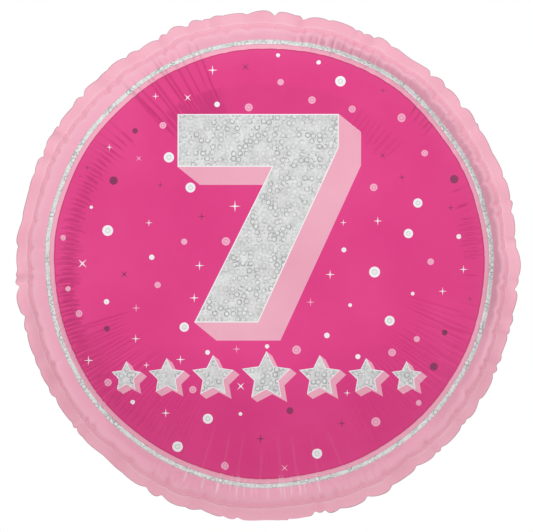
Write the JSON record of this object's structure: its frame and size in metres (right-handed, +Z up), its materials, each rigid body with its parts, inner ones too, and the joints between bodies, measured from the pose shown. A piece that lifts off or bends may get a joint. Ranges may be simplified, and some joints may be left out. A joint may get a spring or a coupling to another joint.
{
  "type": "foil number balloon",
  "caption": "Round foil balloon with a printed numeral on a ringed disc, a gathered heat-sealed border, a film valve and a filling tail that folds back behind it.",
  "frame": {"origin": "middle of the tail's fold line, at the bottom of the sealed border", "axes": "+Z up through the middle of the balloon, -Y out of the printed front, +X to the right as seen from the front"},
  "size_m": [0.3654, 0.187, 0.3672],
  "materials": {
    "pale_foil": "satin metallised film in pale pink",
    "hot_pink_print": "satin hot pink print on metallised film",
    "silver_print": "silver prismatic film",
    "pale_print": "satin pale pink print on metallised film",
    "clear_film": "clear polyethylene film"
  },
  "bodies": {
    "balloon": {"front_film": "pale_foil", "back_film": "pale_foil", "border_seal": "pale_foil", "valve_front_film": "clear_film", "valve_back_film": "clear_film", "disc_print": "hot_pink_print", "ring_print": "silver_print", "numeral_print": "silver_print", "numeral_side_print": "pale_print"},
    "tail": {"tail_front_film": "pale_foil", "tail_back_film": "pale_foil", "tail_side_seals": "pale_foil", "inlet_front_film": "clear_film", "inlet_back_film": "clear_film"}
  },
  "joints": [
    {"name": "tail_fold", "type": "hinge", "parent": "balloon", "child": "tail", "pos_m": [0, 0.0007, 0], "axis": [-1, 0, 0], "range_deg": [0, 110]}
  ]
}
